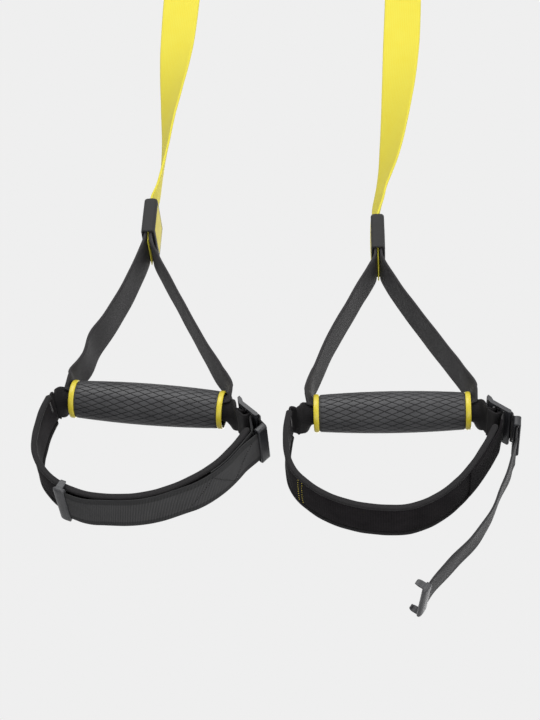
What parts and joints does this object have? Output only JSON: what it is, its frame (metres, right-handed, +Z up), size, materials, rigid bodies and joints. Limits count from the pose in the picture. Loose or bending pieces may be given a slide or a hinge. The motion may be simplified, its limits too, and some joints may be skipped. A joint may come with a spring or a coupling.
{
  "type": "suspension trainer",
  "caption": "Pair of hanging training handles: each webbing loop holds a ribbed grip and an adjustable padded foot cradle, under a flat strap with a carabiner.",
  "frame": {"origin": "on the line along which both carabiners hang, at their crowns' inner contact, above the middle between the two grips", "axes": "+X along the grips to the right handle, +Y away from the viewer, +Z up"},
  "size_m": [0.4141, 0.0582, 0.8768],
  "materials": {
    "strap_webbing": "flat woven polyester",
    "black_webbing": "woven nylon, soft sheen",
    "moulded_rubber": "matt, soft",
    "grip_rubber": "matt, diamond pattern",
    "ring_plastic": "satin",
    "black_plastic": "fine matt",
    "pad_fabric": "brushed pile",
    "panel_fabric": "flat woven",
    "steel": "polished"
  },
  "bodies": {
    "anchor": {"left_carabiner_frame": "steel", "left_gate_rivet": "steel", "right_carabiner_frame": "steel", "right_gate_rivet": "steel"},
    "left_gate": {"left_carabiner_gate": "steel"},
    "left_strap": {"left_main_strap": "strap_webbing"},
    "left_handle": {"left_strap_sleeve": "moulded_rubber", "left_sleeve_panel": "panel_fabric", "left_strap_end": "strap_webbing", "left_handle_webbing": "black_webbing"},
    "left_grip": {"left_grip_tube": "black_plastic", "left_grip_ring_left": "ring_plastic", "left_grip_ring_right": "ring_plastic", "left_grip_rubber": "grip_rubber"},
    "left_cradle": {"left_cradle_pad": "pad_fabric", "left_binding_near": "black_webbing", "left_binding_far": "black_webbing", "left_cradle_webbing": "black_webbing", "left_ladder_buckle": "black_plastic", "left_buckle_pin": "steel", "left_adjuster_webbing": "black_webbing", "left_tail_clip": "black_plastic"},
    "left_keeper": {"left_loop_keeper": "black_plastic"},
    "right_gate": {"right_carabiner_gate": "steel"},
    "right_strap": {"right_main_strap": "strap_webbing"},
    "right_handle": {"right_strap_sleeve": "moulded_rubber", "right_sleeve_panel": "panel_fabric", "right_strap_end": "strap_webbing", "right_handle_webbing": "black_webbing"},
    "right_grip": {"right_grip_tube": "black_plastic", "right_grip_ring_left": "ring_plastic", "right_grip_ring_right": "ring_plastic", "right_grip_rubber": "grip_rubber"},
    "right_cradle": {"right_cradle_pad": "pad_fabric", "right_binding_near": "black_webbing", "right_binding_far": "black_webbing", "right_cradle_webbing": "black_webbing", "right_ladder_buckle": "black_plastic", "right_buckle_pin": "steel", "right_adjuster_webbing": "black_webbing"},
    "right_keeper": {"right_loop_keeper": "black_plastic"},
    "right_tail": {"right_free_tail": "black_webbing", "right_tail_clip": "black_plastic"}
  },
  "joints": [
    {"name": "left_gate_hinge", "type": "hinge", "parent": "anchor", "child": "left_gate", "pos_m": [-0.063, 0, -0.0805], "axis": [0, -1, 0], "range_deg": [0, 25], "stiffness_Nm_per_rad": 0.02, "springref_deg": -20.05},
    {"name": "left_strap_swing", "type": "hinge", "parent": "anchor", "child": "left_strap", "pos_m": [-0.092, 0, -0.092], "axis": [1, 0, 0], "range_deg": [-75, 75]},
    {"name": "left_handle_swing", "type": "hinge", "parent": "left_strap", "child": "left_handle", "pos_m": [-0.1095, 0, -0.44], "axis": [0.0698, 0.9976, 0], "range_deg": [-1, 40]},
    {"name": "left_grip_spin", "type": "hinge", "parent": "left_handle", "child": "left_grip", "pos_m": [-0.1051, 0, -0.6686], "axis": [0.9874, -0.069, -0.1426], "continuous": true},
    {"name": "left_cradle_swing", "type": "hinge", "parent": "left_handle", "child": "left_cradle", "pos_m": [-0.1051, 0, -0.6686], "axis": [0.9874, -0.069, -0.1426], "range_deg": [-60, 60]},
    {"name": "left_keeper_slide", "type": "slide", "parent": "left_cradle", "child": "left_keeper", "axis": [0.6955, -0.0486, 0.7169], "range_m": [-0.004, 0]},
    {"name": "right_gate_hinge", "type": "hinge", "parent": "anchor", "child": "right_gate", "pos_m": [0.171, 0, -0.0805], "axis": [0, -1, 0], "range_deg": [0, 25], "stiffness_Nm_per_rad": 0.02, "springref_deg": -20.05},
    {"name": "right_strap_swing", "type": "hinge", "parent": "anchor", "child": "right_strap", "pos_m": [0.142, 0, -0.092], "axis": [1, 0, 0], "range_deg": [-75, 75]},
    {"name": "right_handle_swing", "type": "hinge", "parent": "right_strap", "child": "right_handle", "pos_m": [0.1008, 0, -0.4595], "axis": [0.0611, 0.9981, 0], "range_deg": [-40, 1]},
    {"name": "right_grip_spin", "type": "hinge", "parent": "right_handle", "child": "right_grip", "pos_m": [0.1049, 0, -0.6769], "axis": [0.9979, -0.061, -0.0227], "continuous": true},
    {"name": "right_cradle_swing", "type": "hinge", "parent": "right_handle", "child": "right_cradle", "pos_m": [0.1049, 0, -0.6769], "axis": [0.9979, -0.061, -0.0227], "range_deg": [-60, 60]},
    {"name": "right_keeper_slide", "type": "slide", "parent": "right_cradle", "child": "right_keeper", "axis": [0.1268, -0.0078, 0.9919], "range_m": [-0.01, 0]},
    {"name": "right_tail_swing", "type": "hinge", "parent": "right_cradle", "child": "right_tail", "pos_m": [0.20614, -0.00619, -0.72312], "axis": [0.0611, 0.9981, 0], "range_deg": [-100, 10]}
  ]
}
